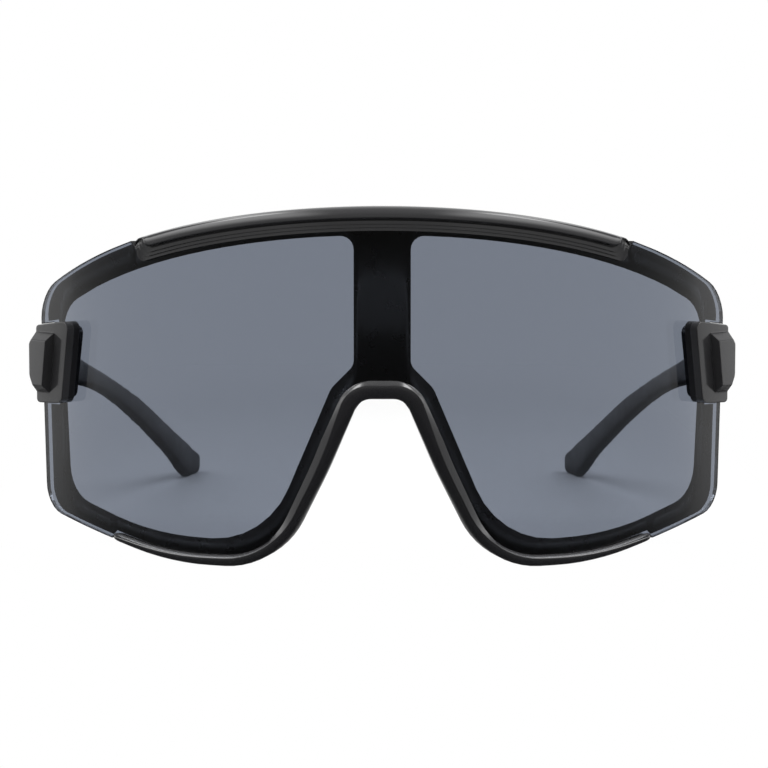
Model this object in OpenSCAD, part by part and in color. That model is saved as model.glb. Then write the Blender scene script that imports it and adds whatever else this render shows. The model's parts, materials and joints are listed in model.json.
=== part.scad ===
// Shield sunglasses: one bent lens held between a brow bar and a lower rim,
// with clamped side brackets and two folding temples.
// Millimetres. The front faces -Y, the temples run to +Y and +Z is up.
// The origin is at the middle of the footprint, on the table.

/* [Lens] */
// Bend radius of the outer face of the lens
lens_r = 95; // [88:1:110]
// Thickness of the lens
lens_t = 2.2; // [1.8:0.1:2.6]
// Middle to side edge near the top, measured along the bent sheet
lens_half_arc = 81.9; // [80:0.1:85]
// How much narrower each half of the sheet is at its foot
lens_foot_inset = 1.3; // [0.4:0.1:2.4]
// Radius of the four outer corners of the lens
lens_corner_r = 5; // [3:0.5:7]
// Height of the front over the table at the middle
front_h = 72.7; // [70:0.1:77]
// Fall of the top edge from the middle to the side
brow_fall = 19.3; // [16:0.1:22]

/* [Nose opening] */
// Height of the nose arch over the table
nose_h = 34.4; // [30:0.2:38]
// Half width of the flat top of the arch, before its corner is rounded
nose_half_w = 4.45; // [3.4:0.05:5]
// Radius of the corners of the arch
nose_r = 3.5; // [3:0.1:5]
// Height over the table at which the sides of the opening bend outwards
nose_mid_h = 19.8; // [16:0.2:24]
// Half width of the opening at that height, measured along the sheet
nose_mid_half_w = 10.95; // [9.5:0.05:12.5]
// Distance along the sheet at which the side of the nose opening meets the table
lobe_arc = 21.4; // [18:0.2:23]
// Radius of the cheek lobes
lobe_r = 17.5; // [14:0.5:22]
// Distance along the sheet at which the underside starts to rise
rise_arc = 44; // [40:0.5:47]
// Radius of the bend where the underside starts to rise
rise_r = 78; // [50:1:90]
// Height of the underside at the outer corner
rise_h = 8.4; // [6:0.2:12]

/* [Printed border] */
// Thickness of the printed film on the back of the lens
print_t = 0.12; // [0.1:0.01:0.16]
// Bare margin between the film and the top and foot of the lens
print_margin = 0.5; // [0.4:0.1:1.2]
// Bare margin between the film and the side edge of the lens
print_side_margin = 1.3; // [0.8:0.1:2]
// Half width of the dark post between the windows
post_half_w = 5.75; // [4:0.05:8]
// Height at which the post starts to widen into the nose
post_foot_h = 40.9; // [39.5:0.1:44]
// Top edge of the front to the top of a window beside the post
border_top = 5.8; // [5.4:0.1:8]
// Top edge of the front to the top corner of a window
border_top_side = 6.1; // [5.4:0.1:8]
// Side edge of the lens to the top corner of a window
border_side = 6.4; // [5:0.1:9]
// Side edge of the lens to the foot corner of a window
border_side_low = 7.5; // [6:0.1:9]
// Underside of the front to the foot of a window
border_low = 5.1; // [4.4:0.1:7]
// Side of the nose opening to a window, level with the arch
border_nose = 6.2; // [5.5:0.1:7]
// Side of the nose opening to a window, level with the table
border_nose_low = 4.4; // [3.5:0.1:7]
// How much further out the foot of a window starts to rise than the underside of the front
window_rise_shift = 4.6; // [0:0.1:8]

/* [Brow bar] */
// Middle to end of the bar, measured along the sheet
brow_half_arc = 52.8; // [45:0.2:56]
// Height of the bar on the front of the lens
brow_h = 4.9; // [4.4:0.1:5.3]
// Height of the raised upper band
brow_band_h = 2.5; // [2.2:0.1:2.8]
// How far the upper band stands out from the lens
brow_out = 2; // [1.6:0.1:2.8]
// How far the first of the fine steps under it stands out from the lens
brow_step_out = 1.3; // [1.1:0.1:1.5]
// Material over the top edge of the lens
brow_over = 1.6; // [1.2:0.1:2]
// Material behind the lens
brow_back = 1.5; // [1.2:0.1:2.2]
// Height of the bar behind the lens
brow_back_h = 4.4; // [3.6:0.1:5]
// Depth of the round crown of the upper band
brow_crown = 1.6; // [1:0.1:1.9]
// Radius of the corners at the ends of the bar
brow_end_r = 1.5; // [1:0.1:2]
// How far each step ends inside the one under it
brow_nest = 0.85; // [0.6:0.05:1]

/* [Lower rim] */
// Middle to end of the rim, measured along the sheet
rim_half_arc = 58.6; // [57:0.2:64]
// Width of the rim beside the nose
rim_nose_w = 3.6; // [3.1:0.1:4.2]
// Width of the rim under the cheek lobes
rim_lobe_w = 2.4; // [2.1:0.1:3]
// Width of the rim at its ends
rim_end_w = 1.6; // [1.5:0.1:2]
// How far the rim stands out from the lens
rim_out = 1.7; // [1.3:0.1:2.4]
// Material below the edge of the lens
rim_under = 0.9; // [0.8:0.1:1]
// Material behind the lens
rim_back = 1.6; // [1.2:0.1:2.2]
// Bevel along the lens side of the rim
rim_bevel = 0.5; // [0.4:0.05:0.6]
// Width of that bevel on the sides of the nose
rim_nose_bevel = 1.4; // [0.6:0.1:1.5]
// Extra width of the bevel over the nose
saddle_bevel = 0.4; // [0:0.1:1]
// Height of the round outer edge of the rim
rim_edge = 0.6; // [0.4:0.1:0.7]
// Height of that edge on the sides of the nose
rim_nose_edge = 1.8; // [1:0.1:1.9]
// Length of each rounded end of the rim
rim_end_l = 1.8; // [1:0.1:3]

/* [Nose pads] */
// How far a pad reaches back from the rim
pad_depth = 6.5; // [4:0.1:8]
// Thickness of a pad
pad_t = 2.1; // [1.5:0.1:2.6]
// How far a pad splays outwards over its depth
pad_splay = 2.6; // [1:0.1:3.5]
// Height of the foot of a pad over the table
pad_low_h = 11; // [9:0.5:14]
// Nose arch to the top of a pad, downwards
pad_top_drop = 0.9; // [0.6:0.1:6]
// How far the top of a pad shows inside the nose opening
pad_peek = 0.4; // [0:0.1:0.6]

/* [Side pieces] */
// Top edge of the lens at its side to the middle of the inner edge of a cover, downwards
side_drop = 13.5; // [11:0.1:15]
// Height of a cover at its inner edge
side_h = 17.2; // [15:0.2:19]
// Side edge of the lens to the inner edge of a cover, measured along the sheet at its top
side_in = 13.5; // [12:0.1:16]
// How much further out that edge lies at the foot
side_slant = 2.5; // [0:0.1:4]
// Fall of the top edge of a cover towards the side
side_top_fall = 1.7; // [0:0.1:2.4]
// Fall of the foot of a cover towards the side
side_low_fall = 0.5; // [0:0.1:1.2]
// Radius of the inner corners of a cover
side_corner_r = 1.6; // [0.8:0.1:3]
// How far a cover stands out past the side edge of the lens
side_over = 0.5; // [0.2:0.1:1.2]
// Depth of the notch for the side pieces in the side edge of the lens
notch_in = 4.6; // [3:0.1:5]
// Gap between the side pieces and the edges of that notch
notch_fit = 0.25; // [0.15:0.05:0.4]
// Thickness of the spacer plate on the lens
spacer_t = 1.5; // [0.8:0.1:1.8]
// Thickness of a cover over its spacer
cover_t = 1.9; // [1.7:0.1:3]
// Thickness of the skin of a cover at the side
cover_skin = 0.8; // [0.6:0.05:0.9]
// Height of the raised boss on a cover
boss_out = 2.2; // [1:0.1:3]
// Height of the foot of the boss
boss_h = 12.6; // [9:0.2:14]
// Middle of the inner edge of a cover to the middle of its boss, downwards
boss_drop = 0.4; // [0:0.1:1]
// How much shorter the boss is at its crest, at each end
boss_bevel = 1.6; // [0.5:0.1:3]
// Inner edge of a cover to the inner edge of the boss, measured along the sheet
boss_in = 4; // [3.4:0.1:6]
// How far the boss stands out at the side
boss_side_out = 1.3; // [0.6:0.1:2]
// Height over which the boss comes out at the side, at its top
boss_top_run = 2.4; // [1:0.1:4]
// Height over which the boss comes out at the side, at its foot
boss_low_run = 3.5; // [1:0.1:5]
// Inner edge of a cover to the inner edge of the bracket behind it
bracket_in = 2.6; // [1.5:0.1:3]
// How much lower the bracket is than its cover, at top and foot
bracket_trim = 0.8; // [0.4:0.1:1.4]
// Thickness of the bracket plate behind the lens
bracket_t = 1.9; // [1.6:0.1:2.4]
// Side edge of the lens to the back end of a bracket
bracket_back = 3.95; // [3.7:0.05:5]

/* [Clamp screws] */
// Radius of a clamp screw
clamp_r = 0.7; // [0.5:0.05:0.9]
// Radius of its head
clamp_head_r = 1.3; // [1.1:0.05:1.5]
// Height of its head
clamp_head_h = 0.8; // [0.5:0.05:1]
// Side edge of the lens to the screws, measured along the sheet
clamp_in = 6.8; // [6.4:0.1:7.4]
// Distance between the two screws of a side
clamp_pitch = 8; // [6:0.2:10]
// Length of thread in a cover
clamp_grip = 1.6; // [1:0.1:2]

/* [Hinges] */
// Radius of a hinge barrel
barrel_r = 1.5; // [1.3:0.05:1.8]
// Height of the whole hinge
hinge_h = 6.3; // [5:0.1:8]
// Radius of a hinge screw
pin_r = 0.65; // [0.5:0.05:0.8]
// Running clearance between a hinge screw and a temple leaf
pin_fit = 0.05; // [0.02:0.01:0.09]
// Height of the head of a hinge screw
pin_head_h = 0.6; // [0.4:0.05:1]
// Radius of the head of a hinge screw
pin_head_r = 1.1; // [0.9:0.05:1.2]
// Thickness of a hinge leaf
leaf_t = 0.8; // [0.6:0.05:1]
// Length of the front leaf from the hinge axis
leaf_front_l = 3.5; // [3:0.1:3.8]
// Length of the temple leaf from the hinge axis
leaf_back_l = 5.6; // [4:0.1:7]

/* [Temples] */
// Length of a temple from the hinge joint
temple_l = 119.5; // [105:0.5:128]
// Height of a temple at the joint
temple_h = 15; // [12:0.2:16]
// Thickness of a temple at the joint
temple_t = 5.4; // [4.8:0.1:5.6]
// Height of the tip of a temple
tip_h = 4.8; // [4:0.1:6.5]
// How far the tip lies inwards of the joint
tip_inset = 19.7; // [16:0.1:24]
// Rounding of the edges of a temple
temple_edge_r = 1; // [0.5:0.1:1.3]
// Length of the rounded end of a tip
tip_round_l = 3; // [1:0.1:4]

/* [Hidden] */
$fn = 96;

// Fits and clearances
groove_fit = 0.18;
seat_fit = 0.04;
hole_fit = 0.06;
knuckle_gap = 0.06;
sweep_gap = 0.25;
joint_gap = 0.3;
// How far the outer face of a temple lies inwards of the cover
temple_set = 0.1;
// Overrun of every cut
over = 1;

// Shape of the top edge: the share of its fall that grows with the square of the distance
brow_square_share = 0.8;
// The groove under the upper band of the brow bar, and the steps below it
band_groove_h = 0.4;
band_groove_depth = 0.35;
brow_steps = 3;
// How much less each step stands out than the one over it
brow_step_fall = 0.2;
// Share of the material over the lens that the corners at the ends of the bar take
end_top_share = 0.75;
// Rounding of the small edges of bar and rim
small_edge = 0.3;
// Slanted run of the steps in the edge of the lens, and their distance from bar and rim
notch_run = 1;
notch_gap = 0.3;
// What is left of a rim or temple section at its very end
end_left_share = 0.3;
// Half length along the sheet over which the saddle bevel fades
saddle_half_arc = 5.5;
// Distance along the sheet up to which the lens edge takes fine steps, round the arch
arch_arc = 9;

lens_in_r = lens_r - lens_t;
foot_half_arc = lens_half_arc - lens_foot_inset;
rise_slope = rise_h / (foot_half_arc - rise_arc);
rear_seat_r = lens_in_r - print_t - seat_fit;
spacer_in_r = lens_r + seat_fit;
cover_in_r = spacer_in_r + spacer_t + seat_fit;
cover_out_r = cover_in_r + cover_t;
boss_r = cover_out_r + boss_out;

// The side edge of the lens carries the side pieces
lens_side_x = lens_r * sin(bend(lens_half_arc));
lens_side_y = lens_r * (1 - cos(bend(lens_half_arc)));
side_half_w = lens_side_x + side_over;
side_mid_h = front_h - brow_fall - side_drop;
bracket_end = lens_side_y + bracket_back;
side_in_arc = lens_half_arc - side_in;
boss_in_arc = side_in_arc + boss_in;
clamp_arc = lens_half_arc - clamp_in;

// The hinge axis lies in the joint, inwards of the flush faces of bracket and temple
temple_start = bracket_end + joint_gap;
hinge_y = bracket_end + joint_gap / 2;
joint_in_x = side_half_w - temple_set - temple_t;
hinge_x = joint_in_x - (barrel_r - leaf_t);
joint_mid_h = side_mid_h - (side_top_fall + side_low_fall) / 2;
front_y = -brow_out;
back_y = temple_start + temple_l;
middle_y = (front_y + back_y) / 2;

function unit(v) = v / norm(v);
function mix(a, b, t) = a + (b - a) * t;
// Bend angle of the sheet at the distance u from its middle
function bend(u) = u / lens_r * 180 / PI;
// The point at radius r over the place u, z of the sheet
function on_sheet(u, z, r) = [r * sin(bend(u)), lens_r - r * cos(bend(u)), z];
// Share left of a rounded end at the distance d inside it: 0 at the end, and 1 from run on
function grown(d, run) = d >= run ? 1 : sqrt(max(0, 1 - pow(1 - max(0, d) / run, 2)));

// Points of a round corner of radius r at b between the runs from a and to c, in n steps.
// The radius is limited so that the corner takes no more than the share reach of either run.
function corner(a, b, c, r, n, reach = 0.5) =
    let (
        p = unit(a - b),
        q = unit(c - b),
        half = acos(p * q) / 2,
        fit_r = min(r, tan(half) * min(norm(a - b), norm(c - b)) * reach),
        centre = b + unit(p + q) * fit_r / sin(half),
        start = b + p * fit_r / tan(half) - centre,
        turn = 180 - 2 * half,
        side = p[0] * q[1] - p[1] * q[0] > 0 ? -1 : 1
    )
    [for (i = [0:n])
        let (t = side * turn * i / n)
        centre + [start[0] * cos(t) - start[1] * sin(t), start[0] * sin(t) + start[1] * cos(t)]];

// A closed outline through points, each given as [place, corner radius]
function rounded(points, n) =
    let (last = len(points) - 1)
    [for (i = [0:last])
        each points[i][1] == 0
            ? [points[i][0]]
            : corner(points[i == 0 ? last : i - 1][0], points[i][0], points[i == last ? 0 : i + 1][0], points[i][1], n)];

// Splits each run of a path that is longer than step
function split_runs(path, step) =
    [for (i = [0:len(path) - 2])
        let (n = max(1, ceil(norm(path[i + 1] - path[i]) / step)))
        for (k = [0:n - 1]) mix(path[i], path[i + 1], k / n),
     path[len(path) - 1]];

// Height of the top edge of the front at the distance u along the sheet
function top_z(u) =
    let (s = pow(u / lens_half_arc, 2))
    front_h - brow_fall * (brow_square_share * s + (1 - brow_square_share) * s * s);

// Course of the underside of the right half, from the middle of the arch to the outer corner
arch_top = [0, nose_h];
arch_corner = [nose_half_w, nose_h];
nose_mid = [nose_mid_half_w, nose_mid_h];
nose_mid_r = 90;
lobe_corner = [lobe_arc, 0];
rise_corner = [rise_arc, 0];
outer_corner = [foot_half_arc, rise_h];
// Most of the level stretch that the bend of the lobe may take
lobe_reach_share = 0.57;
low_path = concat(
    [arch_top],
    corner(arch_top, arch_corner, nose_mid, nose_r, 8, 1),
    corner(arch_corner, nose_mid, lobe_corner, nose_mid_r, 3),
    corner(nose_mid, lobe_corner, rise_corner, lobe_r, 10, lobe_reach_share),
    corner(lobe_corner, rise_corner, outer_corner, rise_r, 6, 1 - lobe_reach_share),
    [outer_corner]
);
function low_z(u) = lookup(abs(u), low_path);

// The same course moved into the lens by d, across its direction
function inset_path(path, d) =
    [for (i = [0:len(path) - 1])
        let (
            a = path[max(0, i - 1)],
            b = path[min(len(path) - 1, i + 1)],
            t = unit(b - a)
        )
        path[i] + [-t[1], t[0]] * d * (path[i][0] == 0 ? 0 : 1) + (path[i][0] == 0 ? [0, d] : [0, 0])];
low_seat_path = inset_path(low_path, rim_under + groove_fit);
function low_seat_z(u) = lookup(abs(u), low_seat_path);

// Fall of a corner of radius r near the side edge at half
function corner_fall(u, half, r) =
    let (d = max(0, abs(u) - half + r))
    r - sqrt(max(0, r * r - d * d));

// Share of the way out of a step in the edge that starts notch_gap past half
function past(u, half) = min(1, max(0, (abs(u) - half - notch_gap) / notch_run));

// Top and foot of the lens, or of a sheet that lies inset by margin and, at the side, by side_margin
function sheet_top_z(u, margin, side_margin) =
    top_z(u) - (brow_over + groove_fit) * (1 - past(abs(u) - margin, brow_half_arc)) - margin
    - corner_fall(u, lens_half_arc - side_margin, lens_corner_r - margin);
function sheet_low_z(u, margin, side_margin) =
    mix(low_seat_z(u), low_z(u), past(abs(u) - margin, rim_half_arc)) + margin
    + corner_fall(u, foot_half_arc - side_margin, lens_corner_r - margin);

// Stations across such a sheet, as shares of its half width
lens_steps = [14, 20, 1, 1, 1, 1, 6];
corner_steps = 6;
function sheet_shares(margin, side_margin) =
    let (
        top_half = lens_half_arc - side_margin,
        low_half = foot_half_arc - side_margin,
        brow_place = brow_half_arc + notch_gap + margin,
        rim_place = rim_half_arc + notch_gap + margin,
        corner_place = 1 - (lens_corner_r - margin) / low_half,
        marks = [
            0,
            arch_arc / top_half,
            brow_half_arc / top_half,
            brow_place / top_half,
            (brow_place + notch_run) / top_half,
            rim_place / low_half,
            (rim_place + notch_run) / low_half,
            corner_place
        ],
        half = concat(
            [for (i = [0:len(lens_steps) - 1])
                for (k = [0:lens_steps[i] - 1]) mix(marks[i], marks[i + 1], k / lens_steps[i])],
            [for (k = [0:corner_steps]) mix(corner_place, 1, sin(90 * k / corner_steps))]
        )
    )
    concat([for (i = [len(half) - 1:-1:1]) -half[i]], half);

// A skin through rings of points, closed by its first and last ring
module loft(rings) {
    n = len(rings[0]);
    last = len(rings) - 1;
    faces = concat(
        [[for (i = [n - 1:-1:0]) i]],
        [for (k = [0:last - 1])
            for (i = [0:n - 1])
                let (a = k * n + i, b = k * n + (i + 1) % n)
                each [[a, b, b + n], [a, b + n, a + n]]],
        [[for (i = [0:n - 1]) last * n + i]]
    );
    polyhedron(points = [for (ring = rings) each ring], faces = faces, convexity = 10);
}

// A section along a path on the sheet. The section is [out from the lens, in from the edge].
// side is 1 where the lens lies below the path, and -1 where it lies above.
function swept(path, sections, side) =
    [for (i = [0:len(path) - 1])
        let (
            a = path[max(0, i - 1)],
            b = path[min(len(path) - 1, i + 1)],
            t = unit(b - a),
            inward = [t[1], -t[0]] * side
        )
        [for (p = sections[i])
            let (q = path[i] + inward * p[1])
            on_sheet(q[0], q[1], lens_r + p[0])]];

// Rings of a skin that turns inside out are reversed
function reversed(rings) = [for (ring = rings) [for (i = [len(ring) - 1:-1:0]) ring[i]]];

// Space of the lens outline between two radii, cut square to the bent sheet
module lens_block(r_in, r_out) {
    loft([for (s = sheet_shares(0, 0))
        let (
            u = s * lens_half_arc,
            v = s * foot_half_arc,
            top = sheet_top_z(u, 0, 0),
            low = sheet_low_z(v, 0, 0)
        )
        [
            on_sheet(v, low, r_out),
            on_sheet(u, top, r_out),
            on_sheet(u, top, r_in),
            on_sheet(v, low, r_in)
        ]]);
}

// Bent sheet between two radii, over the whole height of the front
module sheet(r_in, r_out) {
    translate([0, lens_r, -over])
    difference() {
        cylinder(r = r_out, h = front_h + 2 * over, $fn = 360);
        translate([0, 0, -over])
        cylinder(r = r_in, h = front_h + 4 * over, $fn = 360);
    }
}

// Moves children that are drawn at the axis of the bend to the place u of the left side.
// There +X runs along the sheet to the side, and -Y points out of the lens.
module at_arc(u) {
    translate([0, lens_r, 0])
    rotate([0, 0, bend(u)])
    children();
}

// Places of the clamp screws of the left side
module at_clamps() {
    for (k = [-1, 1])
        at_arc(clamp_arc)
        translate([0, 0, side_mid_h + k * clamp_pitch / 2])
        rotate([90, 0, 0])
        children();
}

// A hole of radius r along each clamp screw, from one radius of the bend to another
module clamp_holes(r, from, to) {
    at_clamps()
    translate([0, 0, from])
    cylinder(r = r, h = to - from);
}

module both_sides() {
    children();
    mirror([1, 0, 0])
    children();
}

module lens_shield() {
    color([0.42, 0.46, 0.52, 0.55])
    translate([0, -middle_y, 0])
    difference() {
        intersection() {
            sheet(lens_in_r, lens_r);
            lens_block(lens_in_r - over, lens_r + over);
        }
        both_sides() {
            clamp_holes(clamp_r + hole_fit, lens_in_r - over, lens_r + over);
            side_notch(notch_fit);
        }
    }
}

// Outline of the film in the view from the front
module film_outline() {
    shares = sheet_shares(print_margin, print_side_margin);
    top = [for (s = shares)
        let (u = s * (lens_half_arc - print_side_margin))
        [lens_in_r * sin(bend(u)), sheet_top_z(u, print_margin, print_side_margin)]];
    low = [for (i = [len(shares) - 1:-1:0])
        let (v = shares[i] * (foot_half_arc - print_side_margin))
        [lens_in_r * sin(bend(v)), sheet_low_z(v, print_margin, print_side_margin)]];
    polygon(concat(top, low));
}

// Outline of the window of the left side, on the sheet
nose_way = unit(lobe_corner - arch_corner);
nose_out = [-nose_way[1], nose_way[0]];
nose_line = arch_corner + nose_out * border_nose;
nose_run = unit(lobe_corner + nose_out * border_nose_low - nose_line);
// Where the slanted foot of the post, at 45 degrees, meets the line beside the nose opening
post_foot = [post_half_w, post_foot_h];
post_run = (post_foot[0] + post_foot[1] - nose_line[0] - nose_line[1]) / (nose_run[0] + nose_run[1]);
window_foot_arc = rise_arc + window_rise_shift;
window_side_arc = lens_half_arc - border_side;
window_low_arc = foot_half_arc - border_side_low;
window_low_z = border_low + (window_low_arc - rise_arc) * rise_slope;
window_post_r = 2.7;
window_top_r = 8;
window_low_r = 8;
window_bend_r = 5;
window_nose_r = 18;
window_rise_r = 82;
window_top_steps = 16;
// The top edge leaves room for its corners: the last point before the side corner lies at this share
window_top_end_share = 0.9;
function window_top_z(u) = top_z(u) - mix(border_top, border_top_side, pow(u / window_side_arc, 2));
window_path = rounded(concat(
    [
        [[post_half_w, window_top_z(post_half_w)], window_post_r],
        [post_foot, window_post_r],
        [nose_line + nose_run * post_run, window_bend_r],
        [nose_line + nose_run * (border_low - nose_line[1]) / nose_run[1], window_nose_r],
        [[window_foot_arc, border_low], window_rise_r],
        [[window_low_arc, window_low_z], window_low_r],
        [[window_side_arc, window_top_z(window_side_arc)], window_top_r]
    ],
    [for (i = [window_top_steps - 1:-1:2])
        let (u = mix(post_half_w, window_side_arc, i * window_top_end_share / window_top_steps))
        [[u, window_top_z(u)], 0]]
), 6);

module window_outline() {
    polygon([for (p = window_path) [lens_in_r * sin(bend(p[0])), p[1]]]);
}

module lens_border() {
    color([0.13, 0.13, 0.14])
    translate([0, -middle_y, 0])
    difference() {
        intersection() {
            sheet(lens_in_r - print_t, lens_in_r);
            translate([0, lens_r, 0])
            rotate([90, 0, 0])
            linear_extrude(height = lens_r + over)
            difference() {
                film_outline();
                both_sides()
                window_outline();
            }
        }
        both_sides() {
            clamp_holes(clamp_r + hole_fit, lens_in_r - over, lens_r);
            side_notch(notch_fit + print_margin);
        }
    }
}

// Share of layer k left at the distance d from the end of the bar. Each layer ends brow_nest inside the next.
brow_turn = 1.4 * brow_end_r;
function layer_share(k, d) = grown(d - (brow_steps - 1 - k) * brow_nest, brow_turn);

// How far step k under the upper band stands out there
function step_out(k, d) =
    k == brow_steps - 1
        ? brow_step_out - k * brow_step_fall
        : mix(
            step_out(k + 1, d),
            brow_step_out - k * brow_step_fall,
            grown(d - (brow_steps - 1 - k) * brow_nest, brow_nest)
        );

// Section of the brow bar at the distance d from its end, from the lens round its front to its back.
// The foot of each layer rises to the top of the bar round the end of that layer.
crown_steps = 6;
function brow_section(d) =
    let (
        whole = grown(d, brow_end_r),
        top = brow_over * end_top_share * (1 - whole),
        low = brow_h - brow_end_r * (1 - whole),
        line = (low - top) / (2 * brow_steps + 4),
        first = mix(top + 2 * line, brow_band_h + band_groove_h, layer_share(-1, d)),
        band_low = mix(top + line, brow_band_h, layer_share(-1, d)),
        feet = [for (k = [0:brow_steps - 1])
            k == brow_steps - 1
                ? low
                : mix(
                    top + (k + 3) * line,
                    mix(brow_band_h + band_groove_h, brow_h, (k + 1) / brow_steps),
                    layer_share(k, d)
                )],
        out = mix(step_out(0, d), brow_out, grown(d - brow_steps * brow_nest, brow_nest)),
        floor_out = step_out(0, d) - band_groove_depth,
        crown = brow_crown * out / brow_out,
        crown_low = mix(top + line / 2, brow_band_h - small_edge, layer_share(-1, d)),
        back = lens_t + brow_back * mix(end_left_share, 1, whole),
        back_low = brow_back_h - brow_end_r * (1 - whole),
        seat = -lens_t - print_t - groove_fit
    )
    concat(
        [[groove_fit, low]],
        [for (k = [brow_steps - 1:-1:0])
            each [
                [step_out(k, d), feet[k]],
                [step_out(k, d) - brow_step_fall / 2, k == 0 ? first : feet[k - 1]]
            ]],
        [[floor_out, first], [floor_out, band_low]],
        corner([floor_out, band_low], [out, band_low], [out, top], (band_low - crown_low) / 2, 2, 1),
        [for (k = [0:crown_steps])
            [out - crown * (1 - cos(90 * k / crown_steps)), mix(crown_low, top, sin(90 * k / crown_steps))]],
        corner([out - crown, top], [-back, top], [-back, back_low], brow_back / 2, 3),
        corner([-back, top], [-back, back_low], [seat, back_low], small_edge, 3),
        [[seat, back_low], [seat, brow_over], [groove_fit, brow_over]]
    );

// Stations of half of the bar: even ones, then closer ones round its end
brow_even_steps = 20;
brow_pace_share = 0.4;
brow_end_steps = 16;
brow_even_end = brow_half_arc - brow_steps * brow_nest - brow_turn;
brow_half_stations = concat(
    [for (i = [0:brow_even_steps - 1]) brow_even_end * i / brow_even_steps],
    [for (i = [0:brow_end_steps])
        mix(brow_even_end, brow_half_arc, mix(i / brow_end_steps, sin(90 * i / brow_end_steps), brow_pace_share))]
);
brow_stations = concat(
    [for (i = [len(brow_half_stations) - 1:-1:1]) -brow_half_stations[i]],
    brow_half_stations
);

module brow_bar() {
    path = [for (u = brow_stations) [u, top_z(u)]];
    sections = [for (u = brow_stations) brow_section(brow_half_arc - abs(u))];
    color([0.18, 0.18, 0.19])
    translate([0, -middle_y, 0])
    loft(swept(path, sections, 1));
}

// Width of the rim, and share of its broad outer edge, at the distance u along the sheet
function rim_width(u) = lookup(abs(u), [
    [0, rim_nose_w],
    [2 * nose_half_w, rim_nose_w],
    [lobe_arc, rim_lobe_w],
    [rim_half_arc, rim_end_w]
]);
// How much the underside of the rim rises at its ends over the course of the lens edge
rim_end_lift = 0.3;
nose_edge_from_share = 0.7;
nose_edge_depth_share = 0.6;
function nose_side_share(u) = lookup(abs(u), [
    [nose_half_w, 0],
    [2 * nose_half_w, 1],
    [lobe_arc * nose_edge_from_share, 1],
    [lobe_arc, 0]
]);

// Section of the lower rim at the distance u along the sheet
rim_edge_steps = 4;
function rim_section(u, tall) =
    let (
        w = mix(rim_under + 2 * small_edge, rim_width(u), tall),
        lift = rim_end_lift * lookup(abs(u), [[lobe_arc + lobe_r, 0], [rim_half_arc, 1]]),
        low = mix(rim_under / 2, lift, tall),
        broad = nose_side_share(u),
        saddle = saddle_bevel * max(0, 1 - pow(u / saddle_half_arc, 2)),
        out = mix(rim_out / 2, rim_out, tall),
        back = lens_t + print_t + mix(rim_back / 2, rim_back, tall),
        bevel = mix(small_edge, mix(rim_bevel, rim_nose_bevel, broad) + saddle, tall),
        edge_h = mix(small_edge, mix(rim_edge, rim_nose_edge, broad), tall),
        edge_depth = mix(small_edge, mix(rim_edge, rim_out * nose_edge_depth_share, broad), tall),
        seat = -lens_t - print_t - groove_fit
    )
    concat(
        [[groove_fit, w], [out / 2, w]],
        corner([out / 2, w], [out, w - bevel], [out, low], small_edge / 2, 2),
        [for (k = [0:rim_edge_steps])
            [
                out - edge_depth * (1 - cos(90 * k / rim_edge_steps)),
                low + edge_h * (1 - sin(90 * k / rim_edge_steps))
            ]],
        corner([out - edge_depth, low], [-back, low], [-back, w], small_edge, 2),
        corner([-back, low], [-back, w - small_edge], [seat, w - small_edge], small_edge, 2),
        [[seat, w - small_edge], [seat, rim_under], [groove_fit, rim_under]]
    );

// Path of the rim: the underside up to the ends of the rim, in steps that follow the bend
rim_step = 2.6;
rim_even_end = rim_half_arc - rim_end_l;
rim_end_steps = 5;
rim_half_path = concat(
    split_runs(concat(
        [for (p = low_path) if (p[0] < rim_even_end) p],
        [[rim_even_end, low_z(rim_even_end)]]
    ), rim_step),
    [for (i = [1:rim_end_steps])
        let (u = rim_even_end + rim_end_l * sin(90 * i / rim_end_steps))
        [u, low_z(u)]]
);
rim_path = concat(
    [for (i = [len(rim_half_path) - 1:-1:1]) [-rim_half_path[i][0], rim_half_path[i][1]]],
    rim_half_path
);

module lower_rim() {
    sections = [for (p = rim_path)
        rim_section(p[0], max(end_left_share, grown(rim_half_arc - abs(p[0]), rim_end_l)))];
    color([0.15, 0.15, 0.16])
    translate([0, -middle_y, 0])
    loft(reversed(swept(rim_path, sections, -1)));
}

// A pad follows the side of the nose opening behind the rim
pad_back = lens_t + print_t + rim_back + seat_fit;
pad_top_h = nose_h - pad_top_drop;
pad_steps = 14;
pad_end_share = 0.45;
// Share of its length over which the top of a pad draws back behind the rim
pad_peek_share = 0.22;
function nose_side_arc(z) = lookup(-z, [for (p = low_path) [-p[1], p[0]]]);

// Section of a pad at the share s of its length. Its front lies on the rim, and its back splays outwards.
function pad_section(s) =
    let (
        full = mix(pad_end_share, 1, sin(180 * s)),
        depth = pad_depth * full,
        splay = pad_splay * full,
        t = pad_t * full,
        side = mix(small_edge, -pad_peek, max(0, 1 - s / pad_peek_share)),
        foot = pad_back + depth
    )
    rounded([
        [[-pad_back, side + t], small_edge],
        [[-pad_back, side], small_edge],
        [[-foot, side + splay], t / 3],
        [[-foot, side + splay + t], t / 3]
    ], 3);

module nose_pad() {
    shares = [for (i = [0:pad_steps]) 1 - cos(90 * i / pad_steps)];
    path = [for (s = shares)
        let (z = mix(pad_top_h, pad_low_h, s))
        [nose_side_arc(z), z]];
    sections = [for (s = shares) pad_section(s)];
    color([0.11, 0.11, 0.12])
    loft(reversed(swept(path, sections, -1)));
}

module nose_pad_left() {
    translate([0, -middle_y, 0])
    nose_pad();
}

module nose_pad_right() {
    mirror([1, 0, 0])
    nose_pad_left();
}

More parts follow.
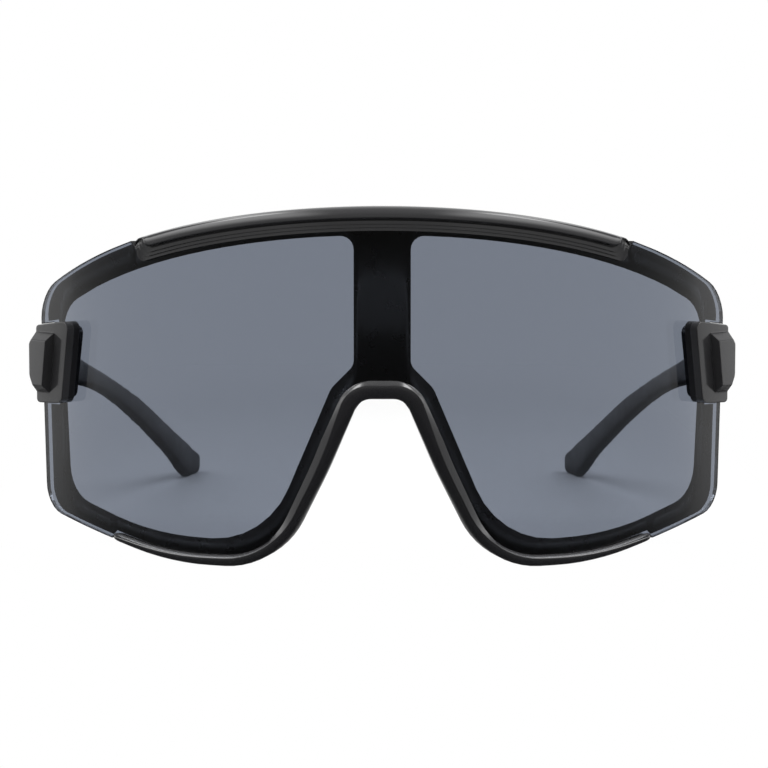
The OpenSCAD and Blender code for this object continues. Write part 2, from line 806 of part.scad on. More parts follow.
// Front view of a cover, square to the lens at its inner edge. Top and foot fall towards the side.
side_top = side_mid_h + side_h / 2;
side_low = side_mid_h - side_h / 2;
side_reach = side_half_w / 2;
function side_top_z(x) = side_top - side_top_fall * x / side_in;
function side_low_z(x) = side_low - side_low_fall * x / side_in;
module side_outline(inset, trim) {
    polygon(rounded([
        [[inset, side_top_z(inset) - trim], side_corner_r],
        [[side_reach, side_top_z(side_reach) - trim], 0],
        [[side_reach, side_low_z(side_reach) + trim], 0],
        [[side_slant + inset, side_low_z(side_slant + inset) + trim], side_corner_r]
    ], 6));
}

// Extrudes a front view square to the lens, from the axis of the bend outwards
module square_to_sheet(u) {
    at_arc(u)
    rotate([90, 0, 0])
    linear_extrude(height = 2 * lens_r)
    children();
}

module side_block(inset, trim) {
    square_to_sheet(side_in_arc)
    side_outline(inset, trim);
}

// Space of the notch in the side edge of the lens, grown by grow
module side_notch(grow) {
    x = lens_r * sin(bend(side_in - notch_in)) - grow;
    square_to_sheet(side_in_arc)
    polygon([
        [x, side_top_z(x) + grow],
        [side_reach, side_top_z(side_reach) + grow],
        [side_reach, side_low_z(side_reach) - grow],
        [x, side_low_z(x) - grow]
    ]);
}

// Space of the left side between two widths and in front of the joint
module side_space(x_in, x_out) {
    translate([x_in, 0, side_low - side_h / 2])
    cube([x_out - x_in, bracket_end, 2 * side_h]);
}

// Hinge: three barrels, the middle one on the temple
barrel_h = (hinge_h - 2 * knuckle_gap) / 3;
module at_hinge() {
    translate([hinge_x, hinge_y, joint_mid_h])
    children();
}
module barrel(r, h) {
    cylinder(r = r, h = h, center = true);
}
// Plate of a leaf. way is -1 to the front and 1 to the back. Its pocket is grown and open inwards.
module leaf_plate(way, grow) {
    open_in = grow > 0 ? over : 0;
    reach = (way > 0 ? leaf_back_l : leaf_front_l) + grow;
    translate([barrel_r - leaf_t - open_in, way > 0 ? 0 : -reach, -hinge_h / 2 - grow])
    cube([leaf_t + grow + open_in, reach, hinge_h + 2 * grow]);
}
// Space that a leaf and the turning barrels need in the piece that carries them
module hinge_pocket(way) {
    at_hinge() {
        leaf_plate(way, seat_fit);
        barrel(barrel_r + sweep_gap, hinge_h + 2 * (pin_head_h + knuckle_gap));
    }
}

module hinge_front_leaf() {
    color([0.72, 0.72, 0.74])
    at_hinge()
    difference() {
        union() {
            leaf_plate(-1, 0);
            for (k = [-1, 1])
                translate([0, 0, k * (barrel_h + knuckle_gap)])
                barrel(barrel_r, barrel_h);
        }
        barrel(barrel_r + knuckle_gap, barrel_h + 2 * knuckle_gap);
        translate([0, 0, -hinge_h])
        cylinder(r = pin_r, h = 2 * hinge_h);
    }
}

module hinge_temple_leaf() {
    color([0.72, 0.72, 0.74])
    at_hinge()
    difference() {
        union() {
            difference() {
                leaf_plate(1, 0);
                for (k = [-1, 1])
                    translate([0, 0, k * (barrel_h + knuckle_gap)])
                    barrel(barrel_r + knuckle_gap, barrel_h + knuckle_gap * 2);
            }
            barrel(barrel_r, barrel_h);
        }
        translate([0, 0, -hinge_h])
        cylinder(r = pin_r + pin_fit, h = 2 * hinge_h);
    }
}

module hinge_screw() {
    color([0.78, 0.78, 0.8])
    at_hinge()
    difference() {
        union() {
            translate([0, 0, -hinge_h / 2])
            cylinder(r = pin_r, h = hinge_h);
            translate([0, 0, hinge_h / 2])
            cylinder(r = pin_head_r, h = pin_head_h);
        }
        translate([-pin_head_r, -pin_head_h / 4, hinge_h / 2 + pin_head_h / 2])
        cube([2 * pin_head_r, pin_head_h / 2, pin_head_h]);
    }
}

module hinge_front_leaf_left() {
    translate([0, -middle_y, 0])
    hinge_front_leaf();
}
module hinge_front_leaf_right() {
    mirror([1, 0, 0])
    hinge_front_leaf_left();
}
module hinge_temple_leaf_left() {
    translate([0, -middle_y, 0])
    hinge_temple_leaf();
}
module hinge_temple_leaf_right() {
    mirror([1, 0, 0])
    hinge_temple_leaf_left();
}
module hinge_screw_left() {
    translate([0, -middle_y, 0])
    hinge_screw();
}
module hinge_screw_right() {
    mirror([1, 0, 0])
    hinge_screw_left();
}

// Bracket: a plate behind the lens, a block that carries the hinge, and a tongue in the notch of the lens
bracket_out_x = side_half_w - cover_skin - seat_fit;
module bracket() {
    color([0.16, 0.16, 0.17])
    difference() {
        union() {
            intersection() {
                side_block(bracket_in, bracket_trim);
                union() {
                    intersection() {
                        sheet(rear_seat_r - bracket_t, rear_seat_r);
                        side_space(0, bracket_out_x);
                    }
                    intersection() {
                        sheet(lens_r / 2, rear_seat_r);
                        side_space(joint_in_x, bracket_out_x);
                    }
                }
            }
            intersection() {
                side_notch(0);
                sheet(rear_seat_r - bracket_t, lens_r);
                side_space(0, bracket_out_x);
            }
        }
        hinge_pocket(-1);
        clamp_holes(clamp_r + hole_fit, rear_seat_r - bracket_t - over, rear_seat_r + over);
        clamp_holes(
            clamp_head_r + hole_fit,
            rear_seat_r - bracket_t - over,
            rear_seat_r - bracket_t + clamp_head_h
        );
    }
}

module bracket_left() {
    translate([0, -middle_y, 0])
    bracket();
}
module bracket_right() {
    mirror([1, 0, 0])
    bracket_left();
}

// Spacer plate between the lens and a cover
module spacer() {
    color([0.08, 0.08, 0.09])
    difference() {
        intersection() {
            side_block(0, 0);
            sheet(spacer_in_r, spacer_in_r + spacer_t);
            side_space(0, bracket_out_x);
        }
        clamp_holes(clamp_r + hole_fit, lens_r - over, cover_in_r + over);
    }
}

module spacer_left() {
    translate([0, -middle_y, 0])
    spacer();
}
module spacer_right() {
    mirror([1, 0, 0])
    spacer_left();
}

// Profile of the boss across the lens: radius against height
boss_low = side_mid_h - boss_drop - boss_h / 2;
boss_top = boss_low + boss_h;
module boss_profile() {
    polygon([
        [cover_in_r, boss_low],
        [cover_out_r, boss_low],
        [boss_r, boss_low + boss_bevel],
        [boss_r, boss_top - boss_bevel],
        [cover_out_r, boss_top],
        [cover_in_r, boss_top]
    ]);
}

// Front view of the boss, which comes out at the side between its bevelled ends
module boss_front() {
    polygon(rounded([
        [[0, boss_low], 0],
        [[side_half_w, boss_low], 0],
        [[side_half_w + boss_side_out, boss_low + boss_low_run], boss_low_run],
        [[side_half_w + boss_side_out, boss_top - boss_top_run], boss_bevel],
        [[side_half_w, boss_top], 0],
        [[0, boss_top], 0]
    ], 6));
}

// Front view of the cover, with its round outer corners
cover_corner_r = 0.8;
module cover_front() {
    x_in = cover_out_r * sin(bend(side_in_arc));
    x_out = cover_out_r * sin(asin(side_half_w / cover_out_r) - bend(side_in_arc));
    polygon(rounded([
        [[0, side_low - side_h / 2], 0],
        [[x_in, side_low], 0],
        [[side_half_w, side_low_z(x_out)], cover_corner_r],
        [[side_half_w, side_top_z(x_out)], cover_corner_r],
        [[x_in, side_top], 0],
        [[0, side_top + side_h / 2], 0]
    ], 6));
}

module front_view() {
    translate([0, bracket_end, 0])
    rotate([90, 0, 0])
    linear_extrude(height = bracket_end)
    children();
}

// Cover: a cap over the spacer with a skin round the side and a raised boss
module side_cover() {
    color([0.2, 0.2, 0.21])
    difference() {
        union() {
            intersection() {
                side_block(0, 0);
                front_view()
                cover_front();
                union() {
                    intersection() {
                        sheet(cover_in_r, cover_out_r);
                        side_space(0, side_half_w);
                    }
                    intersection() {
                        sheet(lens_r / 2, cover_out_r);
                        side_space(side_half_w - cover_skin, side_half_w);
                    }
                }
            }
            // The boss, bevelled at both ends and slanted like the cover
            intersection() {
                sheet(cover_in_r, boss_r);
                side_space(0, side_half_w + boss_side_out);
                front_view()
                boss_front();
                square_to_sheet(boss_in_arc)
                polygon([
                    [0, side_top],
                    [side_reach, side_top],
                    [side_reach, side_low],
                    [side_slant, side_low]
                ]);
                translate([0, lens_r, 0])
                rotate_extrude(angle = 360, $fn = 360)
                boss_profile();
            }
        }
        clamp_holes(clamp_r + hole_fit, cover_in_r - over, cover_in_r + clamp_grip + hole_fit);
    }
}

module side_cover_left() {
    translate([0, -middle_y, 0])
    side_cover();
}
module side_cover_right() {
    mirror([1, 0, 0])
    side_cover_left();
}

// Clamp screws of one side, driven from behind
module clamp_screws() {
    head_at = rear_seat_r - bracket_t + clamp_head_h;
    color([0.7, 0.7, 0.72])
    at_clamps()
    difference() {
        union() {
            translate([0, 0, head_at])
            cylinder(r = clamp_r, h = cover_in_r + clamp_grip - head_at);
            translate([0, 0, head_at - clamp_head_h])
            cylinder(r = clamp_head_r, h = clamp_head_h);
        }
        translate([-clamp_head_r, -clamp_r / 4, head_at - clamp_head_h - over])
        cube([2 * clamp_head_r, clamp_r / 2, over + clamp_head_h / 2]);
    }
}

module clamp_screws_left() {
    translate([0, -middle_y, 0])
    clamp_screws();
}
module clamp_screws_right() {
    mirror([1, 0, 0])
    clamp_screws_left();
}

// Course of a temple as shares: along its length, inwards, thickness, fall and height
temple_shares = [
    [0, 0, 1, 0, 1],
    [0.067, 0, 0.87, 0.072, 0.81],
    [0.182, 0.005, 0.54, 0.19, 0.49],
    [0.373, 0.19, 0.48, 0.341, 0.41],
    [0.563, 0.442, 0.48, 0.52, 0.605],
    [0.775, 0.709, 0.5, 0.758, 0.93],
    [0.84, 0.785, 0.51, 0.829, 1.16],
    [0.885, 0.837, 0.52, 0.876, 1.4],
    [0.917, 0.873, 0.52, 0.909, 1.53],
    [0.958, 0.93, 0.52, 0.965, 1.25],
    [1, 1, 0.5, 1, 1]
];
temple_steps = 34;
temple_fall = joint_mid_h + temple_h / 2 - tip_h;
tip_steps = 5;
// Share of the rounding of a tip that comes off its top
tip_top_share = 0.3;

// Smooth curve through one column of a table of shares, at the share t of its first column
function smooth(t, rows, column) =
    let (
        last = len(rows) - 1,
        k = max([for (i = [0:last - 1]) rows[i][0] <= t ? i : 0]),
        a = rows[k],
        b = rows[k + 1],
        before = rows[max(0, k - 1)],
        after = rows[min(last, k + 2)],
        run = b[0] - a[0],
        s = (t - a[0]) / run,
        slope_a = (b[column] - before[column]) / (b[0] - before[0]) * run,
        slope_b = (after[column] - a[column]) / (after[0] - a[0]) * run
    )
    (2 * pow(s, 3) - 3 * s * s + 1) * a[column]
    + (pow(s, 3) - 2 * s * s + s) * slope_a
    + (3 * s * s - 2 * pow(s, 3)) * b[column]
    + (pow(s, 3) - s * s) * slope_b;

// Rounded section of a temple: inner face at x, top at z
function temple_ring(x, y, z, t, h) =
    [for (p = rounded([
        [[x, z - h], temple_edge_r],
        [[x + t, z - h], temple_edge_r],
        [[x + t, z], temple_edge_r],
        [[x, z], temple_edge_r]
    ], 3)) [p[0], y, p[1]]];

module temple() {
    round_share = tip_round_l / temple_l;
    places = concat(
        [for (i = [0:temple_steps - 1]) (1 - round_share) * i / temple_steps],
        [for (i = [0:tip_steps]) 1 - round_share * (1 - sin(90 * i / tip_steps))]
    );
    rings = [for (s = places)
        let (
            full = max(end_left_share, grown(1 - s, round_share)),
            inset = tip_inset * smooth(s, temple_shares, 1),
            t = temple_t * smooth(s, temple_shares, 2),
            h = mix(temple_h, tip_h, s) * smooth(s, temple_shares, 4),
            top = joint_mid_h + temple_h / 2 - temple_fall * smooth(s, temple_shares, 3),
            low = max(0, top - h),
            cut = (top - low) * (1 - full)
        )
        temple_ring(
            joint_in_x - inset + t * (1 - full) / 2,
            temple_start + temple_l * s,
            top - cut * tip_top_share,
            t * full,
            top - low - cut
        )];
    color([0.17, 0.17, 0.18])
    difference() {
        loft(rings);
        hinge_pocket(1);
    }
}

module temple_left() {
    translate([0, -middle_y, 0])
    temple();
}
module temple_right() {
    mirror([1, 0, 0])
    temple_left();
}

lens_shield();
lens_border();
brow_bar();
lower_rim();
nose_pad_left();
nose_pad_right();
bracket_left();
bracket_right();
spacer_left();
spacer_right();
side_cover_left();
side_cover_right();
clamp_screws_left();
clamp_screws_right();
hinge_front_leaf_left();
hinge_front_leaf_right();
hinge_temple_leaf_left();
hinge_temple_leaf_right();
hinge_screw_left();
hinge_screw_right();
temple_left();
temple_right();
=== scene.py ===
"""Looks of the shield sunglasses: finishes, table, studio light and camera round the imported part."""
import json
import math

import bpy
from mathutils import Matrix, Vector


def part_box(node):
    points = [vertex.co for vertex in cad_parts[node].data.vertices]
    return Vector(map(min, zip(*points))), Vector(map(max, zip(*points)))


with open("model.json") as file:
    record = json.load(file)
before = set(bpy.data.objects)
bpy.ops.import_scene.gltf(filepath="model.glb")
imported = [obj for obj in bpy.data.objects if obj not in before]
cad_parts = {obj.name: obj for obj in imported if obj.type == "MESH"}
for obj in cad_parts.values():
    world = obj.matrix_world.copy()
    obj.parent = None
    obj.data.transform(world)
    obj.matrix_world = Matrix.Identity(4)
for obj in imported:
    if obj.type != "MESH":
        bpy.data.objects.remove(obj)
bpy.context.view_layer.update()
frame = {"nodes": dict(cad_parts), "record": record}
MM = 0.001

# Camera: half a metre in front of the lens, and it looks down a little, so that the far ends of the
# temples show through the lens
LENS_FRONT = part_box("lens_shield")[0][1]
CAMERA_AT = (0, LENS_FRONT - 500 * MM, 83 * MM)
CAMERA_TILT = math.radians(5.22)
CAMERA_FOCAL = 118.3
CAMERA_SENSOR = 36
CAMERA_NEAREST = 20 * MM
# The photograph is 768 pixels wide, and the object's middle is at 382.2
PHOTO_W = 768
PHOTO_MIDDLE = 382.2

# The lens bends round an upright axis
LENS_AXIS_Y = LENS_FRONT + 95 * MM

# Colours, linear
WHITE = (1, 1, 1, 1)
TINT = (0.185, 0.207, 0.252, 1)
TINT_SHADOW = (0.92, 0.92, 0.93, 1)
BLACK = (0.010, 0.010, 0.011, 1)
COVER = (0.020, 0.020, 0.021, 1)
INK = (0.006, 0.006, 0.0065, 1)
STEEL = (0.62, 0.62, 0.63, 1)
# Shares by which the tone and the roughness change over the plastics and over the steel
PLASTIC_TONE = 1.35
PLASTIC_ROUGH = (0.85, 1.15)
STEEL_TONE = 0.8
STEEL_ROUGH = (0.8, 1.25)
# Size of the patches of that change, in millimetres
TONE_PATCH = 9
ROUGH_PATCH = 3
LENS_PATCH = 14
FLOOR_PATCH = 60
# Brush marks of the steel: how many a metre, and how deep in millimetres
BRUSH_SCALE = 2500
BRUSH_DEPTH = 0.004

PLASTIC_IOR = 1.5
LENS_IOR = 1.586
LENS_ROUGH = 0.012
COAT_ROUGH = 0.06
# Specular level of the side pieces' walls where they get painted shade, and of the painted dark cut edge
# of the lens
WALL_SPECULAR = 0.12
EDGE_SPECULAR = 0.1
EDGE_ROUGH = 0.25
# Where a side piece's wall gets painted shade, mirroring less light: by how far its normal leans to the
# middle, and how far up
WALL_INWARD = (0, 1, -0.68, -0.55)
WALL_UP = (1, 0, 0.3, 0.45)
# Share of painted shade on the cut edge of the lens, as seen from inside the sheet
EDGE_SHADE_INSIDE = 0.7
# Cosines between which the cut edge's painted shade gives way to the bent faces
EDGE_TURN = (0.9, 0.97)
# Radius, in millimetres, of the corner that gets the lens's painted dark outline, and the cosines there
OUTLINE_R = 0.8
OUTLINE_TURN = (0.88, 0.97)
BEVEL_SAMPLES = 8

# Share of the mirrored light that also lights the pieces and the table
SOFT_SHARE = 0.25
# Light from round about, by how far its way leans from the camera's side to behind the object
ROUND_ABOUT = [(-1, 0.05), (-0.84, 0.06), (-0.69, 0.09), (-0.53, 0.12), (-0.39, 0.17), (-0.2, 0.28),
               (0, 0.55), (0.14, 0.9), (0.4, 1), (1, 1)]
# The studio's lights as products of fades. A fade has the part of the way that counts, the level at its
# start and at its end, and where these two lie
STUDIO = {
    "round about": [("Z", 0.12, 1, -0.25, -0.05)],
    "overhead": [("Z", 0, 1, 0.2, 0.7), ("X", 0.2, 2.5, 0.2, 0.44), ("Y", 1, 0.2, 0.2, 0.8)],
    "dark corner": [("Y", 0, 1, -0.05, 0.2), ("X", 0, 1, 0.42, 0.55), ("Z", 0, 1, 0.35, 0.6)],
    "strip": [("Y", 0, 1, -0.22, -0.12), ("Y", 1, 0, 0.02, 0.12), ("Z", 0, 4, 0.76, 0.84),
              ("X", 0, 1, 0.3, 0.4)],
    "haze": [("Z", 0, 0.4, -0.05, 0.15)],
}
# What is left of the light in the dark corner
CORNER_SHARE = 0.1

# The table, and the light that it gives off by itself: together they show white where nothing shades it
FLOOR = (0.68, 0.68, 0.68, 1)
FLOOR_TONE = 1.03
FLOOR_GLOW = 0.08
FLOOR_R = 0.62
FLOOR_SIDES = 64
FLOOR_AT = (0, 0.17, -0.02 * MM)
# Where the table's shading shows, as a product of fades in metres: to each side of the middle, behind
# the lens, and not far away
SHADED_ASIDE = (1, 0, 60 * MM, 95 * MM)
SHADED_BEHIND = (0, 1, LENS_FRONT + 30 * MM, LENS_FRONT + 90 * MM)
SHADED_NEAR = (1, 0, 150 * MM, 420 * MM)

# The softboxes, in millimetres and watts, for the side with positive X
SOFTBOX_AT = (330, -150, 620)
SOFTBOX_AIM = (40, -20, 30)
SOFTBOX_SIZE = (420, 520)
SOFTBOX_POWER = 3


def link(tree, node, values):
    """Sets a node's inputs: a socket is linked, and anything else is its value."""
    for name, value in values.items():
        if isinstance(value, bpy.types.NodeSocket):
            tree.links.new(value, node.inputs[name])
        else:
            node.inputs[name].default_value = value


def add(tree, kind, values=None, **settings):
    """A new node with its settings and inputs."""
    node = tree.nodes.new(kind)
    for name, value in settings.items():
        setattr(node, name, value)
    link(tree, node, values or {})
    return node


def new_material(name):
    """An empty material, with its node tree and its output node."""
    material = bpy.data.materials.new(name)
    material.use_nodes = True
    tree = material.node_tree
    tree.nodes.clear()
    return material, tree, add(tree, "ShaderNodeOutputMaterial")


def place(tree):
    """The place on the object, in metres, as a texture coordinate."""
    return add(tree, "ShaderNodeTexCoord").outputs["Object"]


def noise(tree, size, detail=3.0, rough=0.5):
    """Noise with features of about that size, in millimetres, as a factor."""
    values = {"Vector": place(tree), "Scale": 1 / (size * MM), "Detail": detail, "Roughness": rough}
    return add(tree, "ShaderNodeTexNoise", values).outputs["Fac"]


def spread(tree, factor, low, high, start=0.3, end=0.7, curve="LINEAR"):
    """A factor between start and end, mapped to low and high."""
    values = {"Value": factor, "From Min": start, "From Max": end, "To Min": low, "To Max": high}
    return add(tree, "ShaderNodeMapRange", values, interpolation_type=curve).outputs["Result"]


def fade(tree, factor, low, high, start, end):
    """The same with soft ends."""
    return spread(tree, factor, low, high, start, end, "SMOOTHSTEP")


def worked(tree, operation, *values):
    """A sum, product or other result of the values."""
    result = values[0]
    for value in values[1:] or (0,):
        result = add(tree, "ShaderNodeMath", {0: result, 1: value}, operation=operation).outputs[0]
    return result


def vector(tree, operation, *values):
    """The result of a vector operation: a vector, or a number for a dot product or a length."""
    node = add(tree, "ShaderNodeVectorMath", dict(enumerate(values)), operation=operation)
    return node.outputs["Value" if operation in ("DOT_PRODUCT", "LENGTH") else "Vector"]


def split(tree, value):
    """The X, Y and Z of a vector."""
    return add(tree, "ShaderNodeSeparateXYZ", {"Vector": value}).outputs


def stepped(tree, factor, stops):
    """A level that goes through the stops: places from -1 to 1, and their levels."""
    curve = add(tree, "ShaderNodeFloatCurve", {"Value": spread(tree, factor, 0, 1, -1, 1)})
    line = curve.mapping.curves[0]
    curve.mapping.clip_max_y = max(level for _, level in stops)
    points = [((at + 1) / 2, level) for at, level in stops]
    line.points[0].location, line.points[1].location = points[0], points[-1]
    for point in points[1:-1]:
        line.points.new(*point)
    for point in line.points:
        point.handle_type = "AUTO_CLAMPED"
    curve.mapping.update()
    return curve.outputs["Value"]


def mixed(tree, factor, first, second):
    """The first shader where the factor is 0, and the second where it is 1."""
    node = add(tree, "ShaderNodeMixShader", {0: factor})
    tree.links.new(first, node.inputs[1])
    tree.links.new(second, node.inputs[2])
    return node.outputs["Shader"]


def between(tree, factor, low, high):
    """A number between low and high."""
    values = {"Factor": factor, "A": low, "B": high}
    return add(tree, "ShaderNodeMix", values, data_type="FLOAT").outputs[0]


def ramp(tree, factor, low, high):
    """A colour between low and high."""
    node = add(tree, "ShaderNodeMix", data_type="RGBA")
    tree.links.new(factor, node.inputs["Factor"])
    # The node's colour sockets come after those for numbers and vectors
    node.inputs[6].default_value = low
    node.inputs[7].default_value = high
    return node.outputs[2]


def toned(colour, share):
    """The colour, lighter or darker by that share."""
    return tuple(min(1, c * share) for c in colour[:3]) + (1,)


def rounded(tree, radius):
    """The normal as if the edges were rounded, with a radius in millimetres."""
    return add(tree, "ShaderNodeBevel", {"Radius": radius * MM}, samples=BEVEL_SAMPLES).outputs["Normal"]


def bump(tree, height, depth, rounding=0.0):
    """A normal from a height factor that stands for a depth in millimetres, softened round the edges."""
    values = {"Height": height, "Distance": depth * MM}
    if rounding:
        values["Normal"] = rounded(tree, rounding)
    return add(tree, "ShaderNodeBump", values).outputs["Normal"]


def seen(tree, path):
    """1 for what the camera sees, also through the lens."""
    return worked(tree, "MAXIMUM", path["Is Camera Ray"], path["Is Transmission Ray"])


def free_of_painted_shade(tree):
    """1, but 0 where a side piece's wall faces the lens or up and gets painted shade."""
    spot = add(tree, "ShaderNodeNewGeometry").outputs
    side = worked(tree, "SIGN", split(tree, spot["Position"])["X"])
    normal = split(tree, spot["Normal"])
    inward = worked(tree, "MULTIPLY", normal["X"], side)
    return worked(
        tree, "MULTIPLY",
        spread(tree, inward, *WALL_INWARD),
        spread(tree, normal["Z"], *WALL_UP))


def plastic(name, colour, rough, grain, depth, coat=0.0, specular=0.5, rounding=0.0, painted_wall_shade=False):
    """Moulded plastic: slight changes of tone and gloss, and a fine waviness or grain. Where asked,
    walls that face the lens or up get painted shade: they mirror less light, so they stay dark.
    """
    material, tree, output = new_material(name)
    glossy, dull = (rough * share for share in PLASTIC_ROUGH)
    values = {
        "Base Color": ramp(tree, noise(tree, TONE_PATCH, 2), colour, toned(colour, PLASTIC_TONE)),
        "Roughness": spread(tree, noise(tree, ROUGH_PATCH, 4), glossy, dull),
        "Normal": bump(tree, noise(tree, grain, 4), depth, rounding),
        "IOR": PLASTIC_IOR,
    }
    gloss = {"Specular IOR Level": specular, "Coat Weight": coat, "Coat Roughness": COAT_ROUGH}
    surface = add(tree, "ShaderNodeBsdfPrincipled", {**values, **gloss}).outputs["BSDF"]
    if painted_wall_shade:
        # Painted shade: the walls that face the lens or up mirror less light, so that they stay dark
        wall = add(tree, "ShaderNodeBsdfPrincipled", {**values, "Specular IOR Level": WALL_SPECULAR})
        surface = mixed(tree, free_of_painted_shade(tree), wall.outputs["BSDF"], surface)
    tree.links.new(surface, output.inputs["Surface"])
    return material


def tinted_lens():
    """Polished smoke polycarbonate, with painted shade on its cut edge and a painted dark outline along
    its front corner. Lamps reach what lies behind it, as through the real sheet.
    """
    material, tree, output = new_material("lens_tint")
    sheet = add(tree, "ShaderNodeBsdfPrincipled", {
        "Base Color": TINT,
        "Roughness": spread(tree, noise(tree, LENS_PATCH), 0.0, LENS_ROUGH),
        "IOR": LENS_IOR,
        "Transmission Weight": 1.0,
    })
    clear = add(tree, "ShaderNodeBsdfTransparent", {"Color": TINT_SHADOW})
    path = add(tree, "ShaderNodeLightPath").outputs
    # Painted shade on the cut edge of the sheet, found where the normal leaves the bend's radius
    spot = add(tree, "ShaderNodeNewGeometry").outputs
    from_axis = vector(tree, "SUBTRACT", spot["Position"], (0, LENS_AXIS_Y, 0))
    radius = vector(tree, "NORMALIZE", vector(tree, "MULTIPLY", from_axis, (1, 1, 0)))
    along = worked(tree, "ABSOLUTE", vector(tree, "DOT_PRODUCT", radius, spot["True Normal"]))
    wall = spread(tree, along, EDGE_SHADE_INSIDE, 0, *EDGE_TURN)
    # A painted dark outline along its front corner
    turn = vector(tree, "DOT_PRODUCT", rounded(tree, OUTLINE_R), spot["True Normal"])
    line = spread(tree, worked(tree, "ABSOLUTE", turn), 1, 0, *OUTLINE_TURN)
    dark = add(tree, "ShaderNodeBsdfPrincipled", {
        "Base Color": BLACK,
        "Roughness": EDGE_ROUGH,
        "IOR": LENS_IOR,
        "Specular IOR Level": EDGE_SPECULAR,
    })
    # From inside the sheet the painted shade of the cut edge counts, and from outside the painted
    # outline
    share = between(tree, spot["Backfacing"], line, wall)
    cut = mixed(tree, share, sheet.outputs["BSDF"], dark.outputs["BSDF"])
    both = mixed(tree, path["Is Shadow Ray"], cut, clear.outputs["BSDF"])
    tree.links.new(both, output.inputs["Surface"])
    return material


def metal(name, colour, rough, brushed):
    """Plated steel with fine brushing along Z."""
    material, tree, output = new_material(name)
    stretch = add(tree, "ShaderNodeMapping", {"Vector": place(tree), "Scale": (1, 1, brushed)})
    lines = add(tree, "ShaderNodeTexNoise", {
        "Vector": stretch.outputs["Vector"], "Scale": BRUSH_SCALE, "Detail": 3, "Roughness": 0.6,
    }).outputs["Fac"]
    glossy, dull = (rough * share for share in STEEL_ROUGH)
    shader = add(tree, "ShaderNodeBsdfPrincipled", {
        "Base Color": ramp(tree, lines, toned(colour, STEEL_TONE), colour),
        "Metallic": 1.0,
        "Roughness": spread(tree, lines, glossy, dull),
        "Normal": bump(tree, lines, BRUSH_DEPTH),
    })
    tree.links.new(shader.outputs["BSDF"], output.inputs["Surface"])
    return material


# The grain is the size of the waviness in millimetres, and the depth is its height
MATERIALS = {
    "lens_tint": tinted_lens(),
    "border_print": plastic("border_print", INK, rough=0.3, grain=1.6, depth=0.0005),
    "frame_gloss": plastic("frame_gloss", BLACK, rough=0.13, grain=2.2, depth=0.004, coat=0.5),
    # The cover and the spacer get painted shade on their walls that face the lens or up
    "cover_gloss": plastic("cover_gloss", COVER, rough=0.2, grain=1.4, depth=0.003, coat=0.5,
                           rounding=0.4, painted_wall_shade=True),
    "spacer_black": plastic("spacer_black", INK, rough=0.22, grain=1.4, depth=0.003, specular=0.1,
                            painted_wall_shade=True),
    "temple_satin": plastic("temple_satin", BLACK, rough=0.35, grain=0.25, depth=0.004, specular=0.22),
    "pad_rubber": plastic("pad_rubber", BLACK, rough=0.6, grain=0.12, depth=0.008, specular=0.4),
    "hinge_steel": metal("hinge_steel", STEEL, rough=0.28, brushed=8),
    "screw_steel": metal("screw_steel", STEEL, rough=0.16, brushed=1),
}

# Width of the bevel modifier on the nodes that have sharp edges, in millimetres
EDGES = {
    "lens_tint": 0.12,
    "cover_gloss": 0.12,
    "spacer_black": 0.12,
    "frame_gloss": 0.12,
    "temple_satin": 0.2,
    "hinge_steel": 0.08,
    "screw_steel": 0.06,
}
SMOOTH_ANGLE = math.radians(32)
WELD_W = 0.002 * MM
# How far the front of the print lies inside the sheet
CONTACT_DEPTH = 0.03 * MM


def dress(node, slot):
    """Gives a CAD node its material, smooth shading and softened edges."""
    piece = frame["nodes"][node]
    mesh = piece.data
    mesh.materials.clear()
    mesh.materials.append(MATERIALS[slot])
    if "custom_normal" in mesh.attributes:
        mesh.attributes.remove(mesh.attributes["custom_normal"])
    mesh.shade_smooth()
    weld = piece.modifiers.new("weld", "WELD")
    weld.merge_threshold = WELD_W
    if slot in EDGES:
        bevel = piece.modifiers.new("edges", "BEVEL")
        bevel.width = EDGES[slot] * MM
        bevel.segments = 3
        bevel.limit_method = "ANGLE"
        bevel.angle_limit = SMOOTH_ANGLE
        bevel.use_clamp_overlap = True
        bevel.harden_normals = True


SLOTS = {row["node"]: row["material_slot"] for row in frame["record"]["subparts"]}
for node, slot in SLOTS.items():
    dress(node, slot)

# The print sits in optical contact with the lens
contact = frame["nodes"]["lens_border"].modifiers.new("contact", "DISPLACE")
contact.strength = CONTACT_DEPTH
contact.mid_level = 0


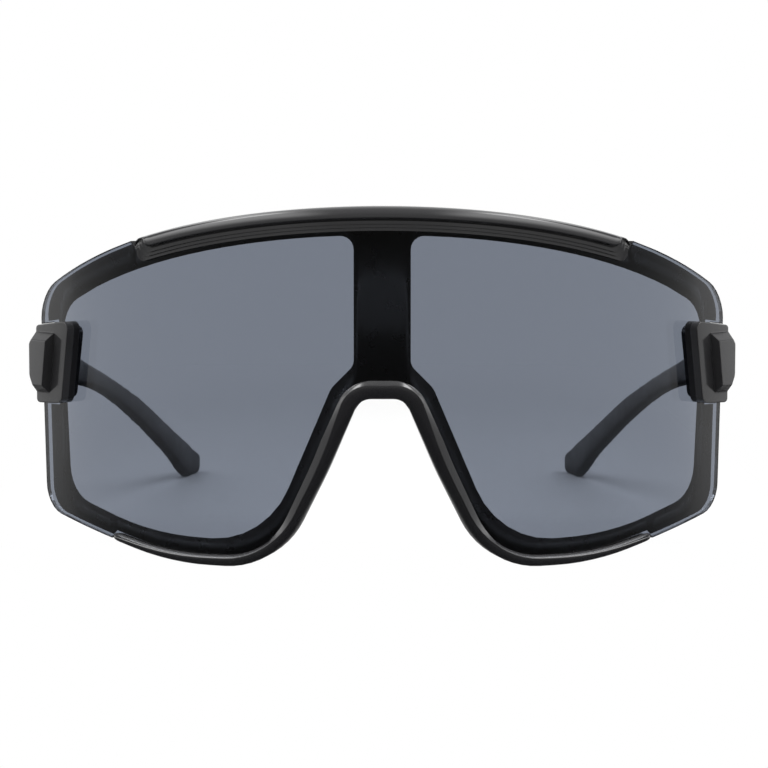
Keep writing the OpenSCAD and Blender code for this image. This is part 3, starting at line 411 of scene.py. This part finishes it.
def floor():
    """A pale table. It shows white, with soft shadows round the far ends of the temples."""
    turns = [2 * math.pi * k / FLOOR_SIDES for k in range(FLOOR_SIDES)]
    points = [(FLOOR_R * math.cos(turn), FLOOR_R * math.sin(turn), 0) for turn in turns]
    mesh = bpy.data.meshes.new("table")
    mesh.from_pydata(points, [], [tuple(range(FLOOR_SIDES))])
    piece = bpy.data.objects.new("table", mesh)
    piece.location = FLOOR_AT
    bpy.context.scene.collection.objects.link(piece)
    material, tree, output = new_material("table")
    path = add(tree, "ShaderNodeLightPath").outputs
    here = add(tree, "ShaderNodeNewGeometry").outputs["Position"]
    apart = split(tree, here)
    shaded = worked(
        tree, "MULTIPLY",
        fade(tree, worked(tree, "ABSOLUTE", apart["X"]), *SHADED_ASIDE),
        fade(tree, apart["Y"], *SHADED_BEHIND),
        fade(tree, vector(tree, "LENGTH", here), *SHADED_NEAR))
    tone = ramp(tree, noise(tree, FLOOR_PATCH, 2), FLOOR, toned(FLOOR, FLOOR_TONE))
    matt = add(tree, "ShaderNodeBsdfDiffuse", {"Color": tone}).outputs["BSDF"]
    glow = add(tree, "ShaderNodeEmission", {"Color": WHITE, "Strength": FLOOR_GLOW})
    lit = add(tree, "ShaderNodeAddShader")
    tree.links.new(matt, lit.inputs[0])
    tree.links.new(glow.outputs["Emission"], lit.inputs[1])
    white = add(tree, "ShaderNodeEmission", {"Color": WHITE, "Strength": 1.0}).outputs["Emission"]
    shown = mixed(tree, seen(tree, path), matt, mixed(tree, shaded, white, lit.outputs["Shader"]))
    # What the pieces mirror downwards is the studio's dark lower half
    none = add(tree, "ShaderNodeBsdfTransparent").outputs["BSDF"]
    mirrored = worked(tree, "SUBTRACT", path["Is Glossy Ray"], path["Is Transmission Ray"])
    tree.links.new(mixed(tree, mirrored, shown, none), output.inputs["Surface"])
    mesh.materials.append(material)


def studio():
    """White behind the object. The pieces mirror pale sides, bright strips overhead and a dark front."""
    world = bpy.data.worlds.new("studio")
    bpy.context.scene.world = world
    world.use_nodes = True
    tree = world.node_tree
    tree.nodes.clear()
    output = add(tree, "ShaderNodeOutputWorld")
    apart = split(tree, add(tree, "ShaderNodeTexCoord").outputs["Generated"])
    way = {"X": worked(tree, "ABSOLUTE", apart["X"]), "Y": apart["Y"], "Z": apart["Z"]}

    def light(name, start=1):
        """The studio's light of that name: the product of its fades, from a level to start with."""
        fades = [fade(tree, way[axis], *row) for axis, *row in STUDIO[name]]
        return worked(tree, "MULTIPLY", start, *fades)

    level = worked(
        tree, "ADD",
        light("round about", stepped(tree, way["Y"], ROUND_ABOUT)),
        light("overhead"),
        light("strip"),
        light("haze"))
    corner = spread(tree, light("dark corner"), 1, CORNER_SHARE, 0, 1)
    path = add(tree, "ShaderNodeLightPath").outputs
    soft = spread(tree, path["Is Diffuse Ray"], 1, SOFT_SHARE, 0, 1)
    level = worked(tree, "MULTIPLY", level, corner, soft)
    back = add(tree, "ShaderNodeBackground", {
        "Color": WHITE, "Strength": between(tree, seen(tree, path), level, 1.0)})
    tree.links.new(back.outputs["Background"], output.inputs["Surface"])


def lamp(name, at, aim, size, power):
    """A softbox: at and aim in millimetres, its width and height too, and its power in watts."""
    light = bpy.data.lights.new(name, "AREA")
    light.shape = "RECTANGLE"
    light.size, light.size_y = (s * MM for s in size)
    light.energy = power
    piece = bpy.data.objects.new(name, light)
    piece.location = [c * MM for c in at]
    way = Vector(aim) - Vector(at)
    piece.rotation_euler = way.to_track_quat("-Z", "Y").to_euler()
    piece.visible_glossy = False
    bpy.context.scene.collection.objects.link(piece)


def lights():
    """Two softboxes over the object, one to each side, with a gap over its middle."""
    for side in (-1, 1):
        at, aim = ((side * x, y, z) for x, y, z in (SOFTBOX_AT, SOFTBOX_AIM))
        lamp(f"top_{side}", at, aim, SOFTBOX_SIZE, SOFTBOX_POWER)


def camera():
    """The photograph's camera."""
    lens = bpy.data.cameras.new("camera")
    lens.sensor_width = CAMERA_SENSOR
    lens.lens = CAMERA_FOCAL
    lens.shift_x = (PHOTO_W / 2 - PHOTO_MIDDLE) / PHOTO_W
    lens.clip_start = CAMERA_NEAREST
    piece = bpy.data.objects.new("camera", lens)
    piece.location = CAMERA_AT
    piece.rotation_euler = (math.radians(90) - CAMERA_TILT, 0, 0)
    bpy.context.scene.collection.objects.link(piece)
    bpy.context.scene.camera = piece


floor()
studio()
lights()
camera()
bpy.context.scene.view_settings.view_transform = "Standard"

bpy.context.view_layer.update()
